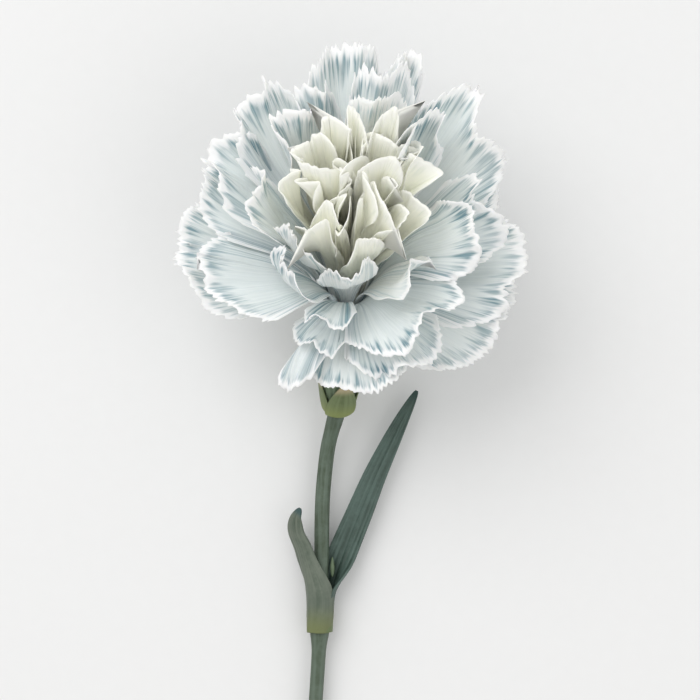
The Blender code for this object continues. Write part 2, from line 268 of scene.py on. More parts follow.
@dataclass(frozen=True)
class WaxyFinish:
    """Smooth green tissue under a powdery wax bloom, which greys it and rubs off in patches.

    The map named "tissue" holds millimetres: across the piece, and in from its tip or mouth.
    """

    name: str
    green: str
    wax: str
    foot: str
    tip: str
    vein_pitch: float  # mm between the veins
    foot_at: float  # distance from the tip where the foot's colour is full, in mm
    tip_length: float  # mm
    roughness: float = 0.46
    rubbed_patches: float = 190.0  # in a metre
    wax_specks: float = 1500.0  # in a metre
    foot_fades: float = 5.0  # mm
    vein_relief: float = 0.2 * MM

    def make(self) -> bpy.types.Material:
        """Builds the material."""
        paint = Painter(self.name)
        tissue = paint.add("ShaderNodeUVMap", {"uv_map": "tissue"}).outputs[0]
        depth = paint.add("ShaderNodeSeparateXYZ", {}, {0: tissue}).outputs[1]
        place = paint.add("ShaderNodeTexCoord").outputs["Object"]
        veins = paint.noise(paint.stretched(tissue, (1 / self.vein_pitch, 0.04, 1.0)), 1.0, 2.0)
        cloud = paint.noise(place, self.rubbed_patches, 4.0, 0.65)
        specks = paint.noise(place, self.wax_specks, 2.0, 0.6)
        speckled = paint.ramp(specks, 0.25, 0.7, 0.6, 1.0)
        bloom = paint.sum("MULTIPLY", paint.ramp(cloud, 0.34, 0.68), speckled)
        ground = paint.blend(paint.ramp(veins, 0.35, 0.65, 0.0, 0.55), self.green, self.wax)
        ground = paint.blend(paint.sum("MULTIPLY", bloom, 0.6), ground, self.wax)
        near_foot = paint.ramp(depth, self.foot_at - self.foot_fades, self.foot_at, 0.0, 0.9)
        near_tip = paint.ramp(depth, self.tip_length * 0.2, self.tip_length, 0.9, 0.0)
        paint.colour(paint.blend(near_tip, paint.blend(near_foot, ground, self.foot), self.tip))
        rough = paint.ramp(bloom, 0.0, 1.0, self.roughness, self.roughness + 0.18)
        paint.tree.links.new(rough, paint.shader.inputs["Roughness"])
        paint.bump(veins, 0.4, self.vein_relief)
        paint.set(Specular_IOR_Level=0.35)
        return paint.material


class Finish(Enum):
    """Every finish of the flower."""

    TINTED = PetalFinish(
        "tinted_petal_tissue", "#E9F0EE", "#E6EBD8", "#537C8C", "#FDFDFC", 0.95, 6.0, 0.35, 1.5
    )
    PALE = PetalFinish(
        "pale_petal_tissue", "#F0F4F0", "#EAEED2", "#7B9CA7", "#FBFCFA", 0.75, 5.5, 0.35, 1.5
    )
    CREAM = PetalFinish(
        "cream_petal_tissue", "#FDFDEE", "#F1F6BE", "#B3C4BE", "#FEFEF6", 0.20, 3.0, 0.2, 1.0
    )
    CALYX = WaxyFinish("waxy_calyx", "#53634A", "#6F7F66", "#7C8850", "#A9A582", 1.3, 27.0, 2.0)
    BRACT = WaxyFinish("waxy_bract", "#5A6742", "#78855F", "#828C52", "#BBA98A", 0.9, 10.5, 4.0)
    STEM = WaxyFinish("waxy_stem", "#414E3C", "#68766A", "#5E6B3A", "#55633F", 1.0, 900.0, 1.0)
    LEAF = WaxyFinish("waxy_leaf", "#36473F", "#5B6E67", "#66734A", "#2C4440", 0.7, 57.0, 3.0)
    SHORT_LEAF = WaxyFinish("waxy_short_leaf", "#4B574A", "#737A6E", "#6C7348", "#2F4B4C", 0.7, 29.5, 4.0)


# ---- Making pieces ------------------------------------------------------------------------------
@dataclass
class Workshop:
    """Makes pieces from grids laid on surfaces, and dresses them."""

    finishes: dict[Finish, bpy.types.Material] = field(default_factory=dict)

    def finish(self, choice: Finish) -> bpy.types.Material:
        """The material of a finish, made on first use."""
        if choice not in self.finishes:
            self.finishes[choice] = choice.value.make()
        return self.finishes[choice]

    def piece(self, name: str, mesh: bpy.types.Mesh, choice: Finish, slot: str, nodes: list[str]):
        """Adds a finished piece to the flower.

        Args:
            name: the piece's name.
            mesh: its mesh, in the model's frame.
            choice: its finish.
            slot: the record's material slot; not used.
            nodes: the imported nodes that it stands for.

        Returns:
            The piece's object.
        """
        mesh.shade_smooth()
        mesh.materials.append(self.finish(choice))
        made = bpy.data.objects.new(name, mesh)
        bpy.context.scene.collection.objects.link(made)
        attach(made, BODY)
        if nodes:
            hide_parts(*nodes)
        return made

    def sheet(self, name: str, surface: Surface, marks: Marking, grid: tuple[int, int]) -> bpy.types.Mesh:
        """A grid laid on a surface, with its tissue map.

        Args:
            name: the mesh's name.
            surface: point at (u, v): u from 0 at the foot to 1 at the tip, v from -1 to 1 across.
            marks: the tissue map's two values there, in mm.
            grid: columns across and rows along.

        Returns:
            The open mesh.
        """
        shell = bmesh.new()
        bmesh.ops.create_grid(shell, x_segments=grid[0], y_segments=grid[1], size=1.0)
        tissue = shell.loops.layers.uv.new("tissue")
        spots = {}
        for vertex in shell.verts:
            u, v = (vertex.co.y + 1) / 2, vertex.co.x
            spots[vertex] = marks(u, v)
            vertex.co = surface(u, v)
        for face in shell.faces:
            for loop in face.loops:
                loop[tissue].uv = spots[loop.vert]
        bmesh.ops.remove_doubles(shell, verts=shell.verts, dist=0.002 * MM)
        mesh = bpy.data.meshes.new(name)
        shell.to_mesh(mesh)
        shell.free()
        return mesh

    def wall(self, made: bpy.types.Object, thickness: float) -> None:
        """Gives an open sheet its thickness, half on each side."""
        solid = made.modifiers.new("Wall", "SOLIDIFY")
        solid.thickness = thickness
        solid.offset = 0.0


# ---- The head: directions that the bloom and the calyx share ------------------------------------
@dataclass(frozen=True)
class Head:
    """Where the bloom and its calyx stand, and which way they face."""

    centre: Vector = Vector((0.8, 68.4, 33.8)) * MM
    reach: float = 50 * MM
    tilt: float = math.radians(32)
    yaw: float = math.radians(5)
    face_tilt: float = math.radians(75)
    calyx_length: float = 29 * MM

    def direction(self, tilt: float) -> Vector:
        """Unit vector at that angle above the surface, in the head's upright plane."""
        level = math.cos(tilt)
        return Vector((math.sin(self.yaw) * level, math.cos(self.yaw) * level, math.sin(tilt)))

    @property
    def sideways(self) -> Vector:
        """Level unit vector across the head."""
        return Vector((math.cos(self.yaw), -math.sin(self.yaw), 0.0))

    @property
    def axis(self) -> Vector:
        """Unit vector along the calyx."""
        return self.direction(self.tilt)

    @property
    def face(self) -> Vector:
        """Unit vector that the bloom opens along."""
        return self.direction(self.face_tilt)

    @property
    def foot(self) -> Vector:
        """The foot of the calyx, where the stem ends."""
        return self.centre - self.axis * self.reach

    @property
    def mouth(self) -> Vector:
        """The middle of the calyx mouth."""
        return self.foot + self.axis * self.calyx_length

    def around_axis(self, azimuth: float) -> Vector:
        """Unit vector square to the calyx."""
        return self.sideways * math.cos(azimuth) + self.direction(self.tilt + math.pi / 2) * math.sin(azimuth)

    def around_face(self, azimuth: float) -> Vector:
        """Unit vector square to the bloom's face."""
        up = self.direction(self.face_tilt + math.pi / 2)
        return self.sideways * math.cos(azimuth) + up * math.sin(azimuth)

    def in_calyx(self, height: float, radius: float, azimuth: float) -> Vector:
        """Point by its height above the calyx foot and its distance from the calyx axis."""
        return self.foot + self.axis * height + self.around_axis(azimuth) * radius


HEAD = Head()


# ---- Petals -------------------------------------------------------------------------------------
@dataclass
class Petal:
    """One petal: where it points, how large it is, and how its blade is bent.

    Angles are in degrees and lengths in millimetres. A curl turns the outer part of the blade
    towards the face of the bloom, and a negative one away from it.
    """

    azimuth: float
    opening: float
    width: float
    reach: float
    curl: float = 0.0
    tilt: float = 0.0  # more curl on one side of the blade than on the other
    ruffle: float = 26.0
    waves: float = 2.2
    start: float = 0.5  # share of the blade where the curl begins
    fold: float = 0.0  # depth of the crease along the middle, mm
    crumple: float = 0.5  # mm
    fringe: float = 1.5  # depth of the teeth, mm
    twist: float = 12.0  # how far one side of the blade stands above the other
    rounding: float = 0.26  # how much shorter the blade is at its sides
    finish: Finish = Finish.TINTED


@dataclass
class PetalSurface:
    """The middle surface of one petal."""

    petal: Petal
    level: int  # of its whorl, 0 for the outermost
    levels: int
    reflex: float
    seed: float
    claw_share: float = 0.16  # of the rows
    claw_half_width: float = 1.1 * MM
    claw_foot: float = 7.0 * MM  # its height above the foot of the calyx
    fine_pitch: float = 3.4  # mm between the fine ruffles
    vein_height: float = 0.09  # mm
    tooth_pitch: float = 1.35  # mm
    fringe_span: float = 32.0  # length of blade that the teeth are measured on, mm
    blade_span: float = 34.0  # length of blade on the tissue map, mm
    lobe_depth: float = 0.045  # of the blade's length
    rest_height: float = 0.2 * MM  # middle of a petal that lies on the surface
    layer_height: float = 0.9 * MM  # each whorl inside it lies this much higher
    softness: float = 0.4 * MM  # of the bend where a petal meets the surface

    @property
    def half(self) -> float:
        """Half the blade's width, in radians."""
        return math.radians(self.petal.width) / 2

    @property
    def claw_angle(self) -> float:
        """Half the claw's width at the calyx mouth, in radians."""
        return min(self.claw_half_width / self.claw_ring(1.0), self.half * 0.8)

    def along_margin(self, v: float) -> float:
        """Distance along the margin from the middle of the petal, in mm."""
        return v * self.half * self.petal.reach

    def claw_ring(self, share: float) -> float:
        """Distance of the whorl's claws from the axis, from their foot to the calyx mouth."""
        rank = self.levels - self.level
        return mix(0.33 * rank + 0.5, 0.62 * rank + 0.15, share) * MM

    def directions(self, spread: float) -> tuple[Vector, Vector, Vector, float]:
        """Directions at a place across the blade.

        Args:
            spread: the angle from the middle of the petal, in radians.

        Returns:
            Unit vectors out to the tip, backward there and across the blade, and the azimuth.
        """
        twist = math.radians(self.petal.twist)
        azimuth = math.radians(self.petal.azimuth) + spread * math.cos(twist)
        opening = math.radians(self.petal.opening) + spread * math.sin(twist)
        outward = HEAD.around_face(azimuth)
        radial = HEAD.face * math.cos(opening) + outward * math.sin(opening)
        backward = outward * math.cos(opening) - HEAD.face * math.sin(opening)
        across = HEAD.around_face(azimuth + math.pi / 2) * math.cos(twist) + backward * math.sin(twist)
        return radial, backward, across, azimuth

    def base(self, spread: float, t: float) -> Vector:
        """Point of the smooth blade: t from 0 at the calyx mouth to 1 at the tip."""
        radial, backward, _, azimuth = self.directions(spread)
        start = HEAD.mouth + HEAD.around_axis(azimuth) * self.claw_ring(1.0)
        tip = HEAD.centre + radial * self.petal.reach * MM
        length = (tip - start).length
        first = start + (HEAD.axis + HEAD.around_axis(azimuth) * 0.25).normalized() * length * 0.36
        last = tip - (radial * math.cos(self.reflex) + backward * math.sin(self.reflex)) * length * 0.42
        return bezier([start, first, last, tip], t)

    def tooth(self, along_margin: float) -> float:
        """How far the margin is notched there, from 0 to 1; the teeth are uneven."""
        x = along_margin / self.tooth_pitch + 0.55 * wave(along_margin * 0.6, self.seed + 3)
        saw = abs(2 * (x - math.floor(x)) - 1)
        uneven = 0.6 + 0.5 * wave(along_margin * 0.45, self.seed + 7)
        return saw * max(uneven, 0.1) + 0.35 * wave(along_margin * 1.7, self.seed + 11)

    def length_at(self, v: float) -> float:
        """How long the blade is there, as a share of its full length: rounded, toothed and lobed."""
        notch = self.petal.fringe / self.fringe_span * self.tooth(self.along_margin(v))
        lobes = self.lobe_depth * wave(v * 1.8, self.seed + 21)
        return 1 - self.petal.rounding * abs(v) ** 2.8 - notch + lobes * (1 - v * v)

    def turn_at(self, v: float) -> float:
        """How far the outer part of the blade turns up there, in degrees."""
        petal = self.petal
        turn = petal.curl + petal.tilt * v
        turn += petal.ruffle * math.sin(math.pi * petal.waves * v + self.seed * 5.1)
        return turn + petal.ruffle * 0.7 * wave(v * 2.3, self.seed)

    def relief(self, t: float, v: float) -> float:
        """How far fine ruffles, crumples, crease and veins lift the blade there, in mm."""
        petal, along = self.petal, self.along_margin(v)
        uneven = 2.5 * wave(v * 3, self.seed + 5)
        fine = 0.42 * petal.fringe * math.sin(2 * math.pi * along / self.fine_pitch + uneven)
        lift = fine * t**7 + petal.crumple * t * wave(v * 2.6 + 9, self.seed + t * 2.1)
        lift += petal.fold * abs(v) * smooth_step(t * 2.2)
        return lift + self.vein_height * math.sin(along * 2.1 + 3 * wave(v * 4, self.seed)) * t

    def curled(self, spread: float, t: float, turn: float) -> tuple[Vector, Vector]:
        """Bends the smooth blade along an arc beyond the place where its curl begins.

        Args:
            spread: the angle from the middle of the petal, in radians.
            t: 0 at the calyx mouth and 1 at the tip.
            turn: how far the arc turns by the tip, in degrees.

        Returns:
            The point, and the unit vector that stands up from the blade there.
        """
        along = (self.base(spread, t + 0.02) - self.base(spread, max(t - 0.02, 0.0))).normalized()
        side = self.directions(spread)[2]
        upward = side.cross(along).normalized()
        point = self.base(spread, t)
        start = self.petal.start
        if t > start:
            root = self.base(spread, start)
            heading = (self.base(spread, start + 0.03) - root).normalized()
            upward = side.cross(heading).normalized()
            span = (self.base(spread, 1.0) - root).length
            share = (t - start) / (1 - start)
            angle = math.radians(turn) * share
            if abs(angle) > 0.001:
                radius = span * share / angle
                bent = root + heading * radius * math.sin(angle) + upward * radius * (1 - math.cos(angle))
                point = mix(point, bent, smooth_step(share * 2.5))
                upward = (upward * math.cos(angle) - heading * math.sin(angle)).normalized()
        return point, upward

    def blade(self, t: float, v: float) -> Vector:
        """Point of the finished blade: t along it and v across it."""
        spread = v * mix(self.claw_angle, self.half, smooth_step(t * 1.5))
        t = t * self.length_at(v)
        point, upward = self.curled(spread, t, self.turn_at(v))
        return point + upward * self.relief(t, v) * MM

    def at(self, u: float, v: float) -> Vector:
        """Point of the whole petal, claw and blade, eased up where it would go below the surface."""
        if u < self.claw_share:
            share = u / self.claw_share
            height = mix(self.claw_foot, HEAD.calyx_length, share)
            angle = math.radians(self.petal.azimuth) + v * self.claw_angle
            return HEAD.in_calyx(height, self.claw_ring(share), angle)
        point = self.blade((u - self.claw_share) / (1 - self.claw_share), v)
        floor = self.rest_height + self.layer_height * self.level
        depth = (point.z - floor) / self.softness
        if depth < 8:
            point.z = floor + self.softness * math.log1p(math.exp(max(depth, -30)))
        return point

    def marks(self, u: float, v: float) -> tuple[float, float]:
        """Tissue map: mm across the veins at the margin, and mm in from the margin."""
        across = self.along_margin(v) + self.seed * 90
        t = max((u - self.claw_share) / (1 - self.claw_share), 0.0)
        from_tip = (1 - t) * self.blade_span
        from_side = (1 - abs(v)) * self.half * self.petal.reach * 0.9 * mix(0.25, 1.0, t) + 2.5 * (1 - t)
        near = min(from_tip, from_side) - 0.5 * math.exp(-abs(from_tip - from_side) / 2)
        return across, max(near, 0.0)


@dataclass
class Whorl:
    """One ring of petals, and how far their tips bend back."""

    reflex: float
    petals: list[Petal]


def style(common: dict, places: list[tuple]) -> list[Petal]:
    """Petals from their places, each with the whorl's common bends and its own differences."""
    return [Petal(*place[:4], **{**common, **(place[4] if len(place) > 4 else {})}) for place in places]


@dataclass
class Bloom:
    """The double bloom, whorl by whorl from the outside."""

    shop: Workshop
    thickness: float = 0.16 * MM
    grid: tuple[int, int] = (104, 44)
    overlap: float = 1.22  # petals are this much wider than the room between their neighbours
    petaloids: int = 14  # small extra petals that crowd the heart
    petaloid_grid: tuple[int, int] = (60, 40)
    petaloid_step: float = 137.5  # degrees from one petaloid to the next, as leaves wind round a stem
    tinted_whorls: int = 4

    def whorls(self) -> list[Whorl]:
        """The petals' places and bends."""
        outer = {"ruffle": 22, "fringe": 1.3}
        middle = {"ruffle": 22, "fringe": 1.2, "waves": 2.0}
        pale = {"ruffle": 20, "curl": 10, "fringe": 0.9, "finish": Finish.PALE, "waves": 1.5}
        folded = {"crumple": 0.9, "waves": 0.9, "rounding": 0.5, "finish": Finish.CREAM}
        cream = {"ruffle": 17, "curl": 6, "fringe": 0.25, **folded}
        heart = {"ruffle": 16, "curl": 2, "fringe": 0.2, **folded}
        return [
            Whorl(42, style(outer, [
                (83, 110, 38, 38),
                (110, 104, 15, 40, {
                    "fold": -5.5, "ruffle": 14, "curl": -30, "twist": 30, "rounding": 0.45,
                }),
                (163, 112, 46, 41.5, {"curl": 6}), (-157, 130, 44, 38), (-109, 141, 46, 39.5),
                (-63, 141, 44, 39.5), (-15, 126, 46, 38), (33, 112, 46, 42.5),
            ])),
            Whorl(36, style(outer, [
                (-99, 98, 32, 42.5), (-75, 98, 17, 41, {"fold": -2.0}), (-37, 88, 50, 39, {"curl": 8}),
                (18, 98, 42, 40.5), (66, 101, 38, 36.5), (100, 103, 30, 31), (147, 98, 42, 37),
                (-173, 103, 34, 37.5), (-141, 90, 38, 38.5),
            ])),
            Whorl(32, style(middle, [
                (-117, 82, 28, 33), (-80, 80, 34, 37), (-50, 76, 30, 34, {"curl": 20}),
                (2, 84, 42, 35.5, {"tilt": -30}), (57, 88, 54, 34), (98, 86, 26, 30),
                (128, 80, 34, 34, {"curl": 80, "start": 0.5, "ruffle": 8, "tilt": 40}), (-168, 88, 36, 36),
            ])),
            Whorl(28, style(pale, [
                (-80, 60, 46, 33), (-44, 60, 26, 33, {"curl": 45}),
                (14, 70, 38, 34.5, {"tilt": -80, "curl": 10, "finish": Finish.TINTED, "start": 0.6}),
                (50, 72, 32, 31), (88, 66, 42, 29, {"curl": 30}),
                (132, 64, 42, 31, {"curl": 35, "ruffle": 8}),
                (172, 72, 40, 32, {"finish": Finish.TINTED}), (-142, 64, 44, 33.5, {"finish": Finish.TINTED}),
            ])),
            Whorl(20, style(cream, [
                (16, 50, 46, 28.5), (74, 52, 46, 28), (126, 48, 46, 29),
                (173, 52, 42, 30), (-122, 42, 42, 31), (-66, 42, 46, 33, {"curl": 14}),
            ])),
            Whorl(10, style(cream, [
                (-98, 32, 50, 32, {"curl": 12}), (-24, 36, 46, 30), (46, 40, 54, 29),
                (116, 40, 46, 29, {"twist": 20}), (-164, 36, 48, 30),
            ])),
            Whorl(4, style(heart, [
                (-58, 24, 60, 31, {"twist": 38}), (62, 28, 58, 29, {"twist": -34}),
                (170, 26, 60, 30, {"twist": 42}),
            ])),
            Whorl(0, style(heart, [(-10, 12, 60, 30, {"twist": 28}), (150, 16, 60, 29, {"twist": -28})])),
        ]

    def dress(
        self, shape: PetalSurface, name: str, grid: tuple[int, int], slot: str, nodes: list[str]
    ) -> None:
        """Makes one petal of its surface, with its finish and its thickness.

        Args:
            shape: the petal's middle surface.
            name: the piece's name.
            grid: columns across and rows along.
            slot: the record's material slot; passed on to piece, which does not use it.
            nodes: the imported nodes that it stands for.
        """
        mesh = self.shop.sheet(name, shape.at, shape.marks, grid)
        self.shop.wall(self.shop.piece(name, mesh, shape.petal.finish, slot, nodes), self.thickness)

    def build_whorls(self, chance: random.Random) -> int:
        """Makes the petals of every whorl.

        Args:
            chance: where the differences between petals are drawn from.

        Returns:
            How many petals there are.
        """
        whorls = self.whorls()
        for level, whorl in enumerate(whorls):
            slot = "petal_tinted" if level < self.tinted_whorls else "petal_cream"
            for number, petal in enumerate(whorl.petals, 1):
                petal.width *= self.overlap
                petal.waves *= chance.uniform(0.85, 1.25)
                petal.curl += chance.uniform(-8, 8)
                reflex, seed = math.radians(whorl.reflex), chance.uniform(1, 40)
                shape = PetalSurface(petal, level, len(whorls), reflex, seed)
                label = f"{level + 1}_{number}"
                self.dress(shape, f"ruffled_petal_{label}", self.grid, slot, [f"petal_{label}"])
        return sum(len(whorl.petals) for whorl in whorls)

    def build_petaloids(self, chance: random.Random, levels: int) -> int:
        """Makes the small folded petals of the heart.

        Args:
            chance: where the differences between petals are drawn from.
            levels: how many whorls the bloom has.

        Returns:
            How many petaloids there are.
        """
        for number in range(1, self.petaloids + 1):
            petal = Petal(
                azimuth=number * self.petaloid_step,
                opening=6 + 27 * math.sqrt(number / self.petaloids),
                width=chance.uniform(34, 50),
                reach=chance.uniform(26.5, 30),
                curl=chance.uniform(-35, 30),
                tilt=chance.uniform(-40, 40),
                ruffle=chance.uniform(8, 24),
                waves=chance.uniform(0.8, 1.6),
                crumple=0.9,
                fringe=0.2,
                rounding=0.5,
                twist=chance.uniform(-28, 28),
                finish=Finish.CREAM,
            )
            shape = PetalSurface(petal, 5 + number % 3, levels, 0.15, chance.uniform(1, 40))
            self.dress(shape, f"folded_petaloid_{number}", self.petaloid_grid, "petal_cream", [])
        return self.petaloids

    def build(self) -> int:
        """Makes every petal and returns how many there are."""
        chance = random.Random(12)
        return self.build_whorls(chance) + self.build_petaloids(chance, len(self.whorls()))


# ---- Calyx and bracts ---------------------------------------------------------------------------
@dataclass
class Calyx:
    """The tube that holds the petals, with papery teeth, and the bracts that clasp its foot."""

    shop: Workshop
    teeth: int = 5
    tooth: float = 5.5 * MM
    wall: float = 0.45 * MM
    bract_length: float = 10.5 * MM
    bract_wall: float = 0.3 * MM
    bract_foot: float = 0.7 * MM  # its height above the foot of the calyx
    bract_clearance: float = 0.2 * MM
    bract_layer: float = 0.45 * MM  # from the inner pair of bracts to the outer
    rib_height: float = 0.06 * MM
    half_round: float = 16.0  # half way round the mouth on the tissue map, mm
    profile: tuple[tuple[float, float], ...] = (
        (0.4, 2.0), (1.5, 2.9), (4.0, 3.5), (8.0, 4.1), (16.0, 5.0), (23.5, 5.8), (29.0, 6.4),
    )

    def radius(self, height: float) -> float:
        """Radius of the middle of the wall at that height above the foot."""
        points = [Vector((h, r, 0.0)) for h, r in self.profile]
        low, high = 0.0, 1.0
        for _ in range(18):
            middle = (low + high) / 2
            low, high = (middle, high) if through(points, middle).x < height / MM else (low, middle)
        return through(points, low).y * MM

    def tube(self, u: float, v: float) -> Vector:
        """Point of the tube: a faint rib under each tooth, and pointed teeth."""
        phase = (v + 1) / 2 * self.teeth % 1.0
        point = (1 - abs(2 * phase - 1)) ** 0.8
        height = mix(0.4 * MM, HEAD.calyx_length - self.tooth * (1 - point), u**1.4)
        ribs = self.rib_height * math.cos(math.pi * v * self.teeth * 5) * smooth_step(u * 3)
        return HEAD.in_calyx(height, self.radius(height) + ribs, math.pi * v)

    def tube_marks(self, u: float, v: float) -> tuple[float, float]:
        """Tissue map of the tube."""
        return v * self.half_round, (1 - u) * HEAD.calyx_length / MM

    def bract(self, azimuth: float, layer: int, half_angle: float) -> Surface:
        """Surface of one bract: broad at its foot, drawn out to a point; layer 1 clasps layer 0."""
        lift = (self.wall + self.bract_wall) / 2 + self.bract_clearance + self.bract_layer * layer

        def surface(u: float, v: float) -> Vector:
            """Point of the bract."""
            height = self.bract_foot + self.bract_length * u
            taper = math.cos(math.pi / 2 * u) ** 0.75 * (1 - 0.3 * u) + 0.012
            loose = 0.25 * MM * u**3 + 0.12 * MM * abs(v) ** 3
            return HEAD.in_calyx(height, self.radius(height) + lift + loose, azimuth + half_angle * taper * v)

        return surface

    def bract_marks(self, u: float, v: float) -> tuple[float, float]:
        """Tissue map of a bract."""
        return v * 4, (1 - u) * self.bract_length / MM

    def build(self) -> int:
        """Makes the calyx and its four bracts, and returns how many pieces they are."""
        mesh = self.shop.sheet("ribbed_calyx", self.tube, self.tube_marks, (200, 48))
        made = self.shop.piece(mesh.name, mesh, Finish.CALYX, "calyx_green", ["calyx"])
        self.shop.wall(made, self.wall)
        bracts = {
            "bract_inner_left": (165, 0, 58),
            "bract_inner_right": (-15, 0, 58),
            "bract_outer_front": (75, 1, 56),
            "bract_outer_back": (-105, 1, 56),
        }
        for node, (azimuth, layer, half_angle) in bracts.items():
            surface = self.bract(math.radians(azimuth), layer, math.radians(half_angle))
            mesh = self.shop.sheet(f"papery_{node}", surface, self.bract_marks, (36, 40))
            made = self.shop.piece(mesh.name, mesh, Finish.BRACT, "bract_green", [node])
            self.shop.wall(made, self.bract_wall)
        return 1 + len(bracts)


# ---- Stem, leaves and bud -----------------------------------------------------------------------
@dataclass
class Leaf:
    """A leaf whose foot sheathes the stem and whose blade is a shallow channel."""

    route: list[tuple[float, float, float]]
    turn: tuple[float, float]  # which way the leaf's back faces, at its foot and at its tip
    width: float
    opening: float  # radius of the channel at mid-blade, mm
    finish: Finish
    sheath_radius: float = 2.85
    sheath_half_angle: float = math.radians(86)
    foot_radius: float = 2.4  # where the sheath closes on the joint
    sheath_end: float = 0.16  # share of the leaf where the sheath begins to open
    blade_begins: float = 0.34  # share of the leaf over which it opens
    wall: float = 0.5 * MM

    def length(self) -> float:
        """Length of the midrib, mm."""
        points = [Vector(p) for p in self.route]
        return sum((b - a).length for a, b in zip(points, points[1:]))

    def at(self, u: float, v: float) -> Vector:
        """Point of the leaf: u from its foot to its tip, v across it."""
        points = [Vector(p) * MM for p in self.route]
        rib = through(points, u)
        along = (through(points, min(u + 0.01, 1.0)) - through(points, max(u - 0.01, 0.0))).normalized()
        turn = math.radians(mix(*self.turn, smooth_step(u * 1.6)))
        back = Vector((math.cos(turn), 0.0, math.sin(turn)))
        back = (back - along * back.dot(along)).normalized()
        blade = smooth_step((u - self.sheath_end) / self.blade_begins)
        sheath = mix(self.foot_radius, self.sheath_radius, smooth_step(u / 0.1))
        radius = mix(sheath, self.opening, blade)
        taper = max((1 - u) ** 0.6 * (1 + 0.9 * u), 0.02)
        reach = mix(self.sheath_radius * self.sheath_half_angle, self.width, blade)
        angle = v * reach * mix(1.0, taper, smooth_step(u * 2)) / radius
        keel = 0.22 * math.exp(-((v / 0.12) ** 2)) * (1 - blade * 0.4) + 0.05 * math.cos(v * 18)
        side = along.cross(back)
        edge = 0.15 * math.sin(u * 21 + v) * blade * abs(v)
        shift = side * radius * math.sin(angle) - back * (radius * (1 - math.cos(angle)) - keel - edge)
        return rib + shift * MM

    def marks(self, u: float, v: float) -> tuple[float, float]:
        """Tissue map of the leaf."""
        return v * self.width, (1 - u) * self.length()


LONG_LEAF = Leaf(
    [
        (-4.6, -24.6, 2.25), (-4.3, -16.6, 2.3), (-3.0, -11.1, 2.5), (-1.1, -5.8, 2.8),
        (2.2, 2.4, 3.4), (5.9, 11.4, 3.9), (10.7, 21.4, 4.2), (15.5, 30.9, 4.0),
    ],
    (-35, -80), 3.5, 7.0, Finish.LEAF,
)
SHORT_LEAF = Leaf(
    [
        (-9.2, -24.6, 5.5), (-9.0, -17.6, 5.7), (-9.4, -12.1, 6.2), (-10.9, -6.1, 7.0),
        (-12.5, -1.6, 7.7), (-12.6, 1.6, 8.3), (-11.3, 4.0, 8.5),
    ],
    (145, 130), 2.9, 4.2, Finish.SHORT_LEAF, 3.15, math.radians(112),
)


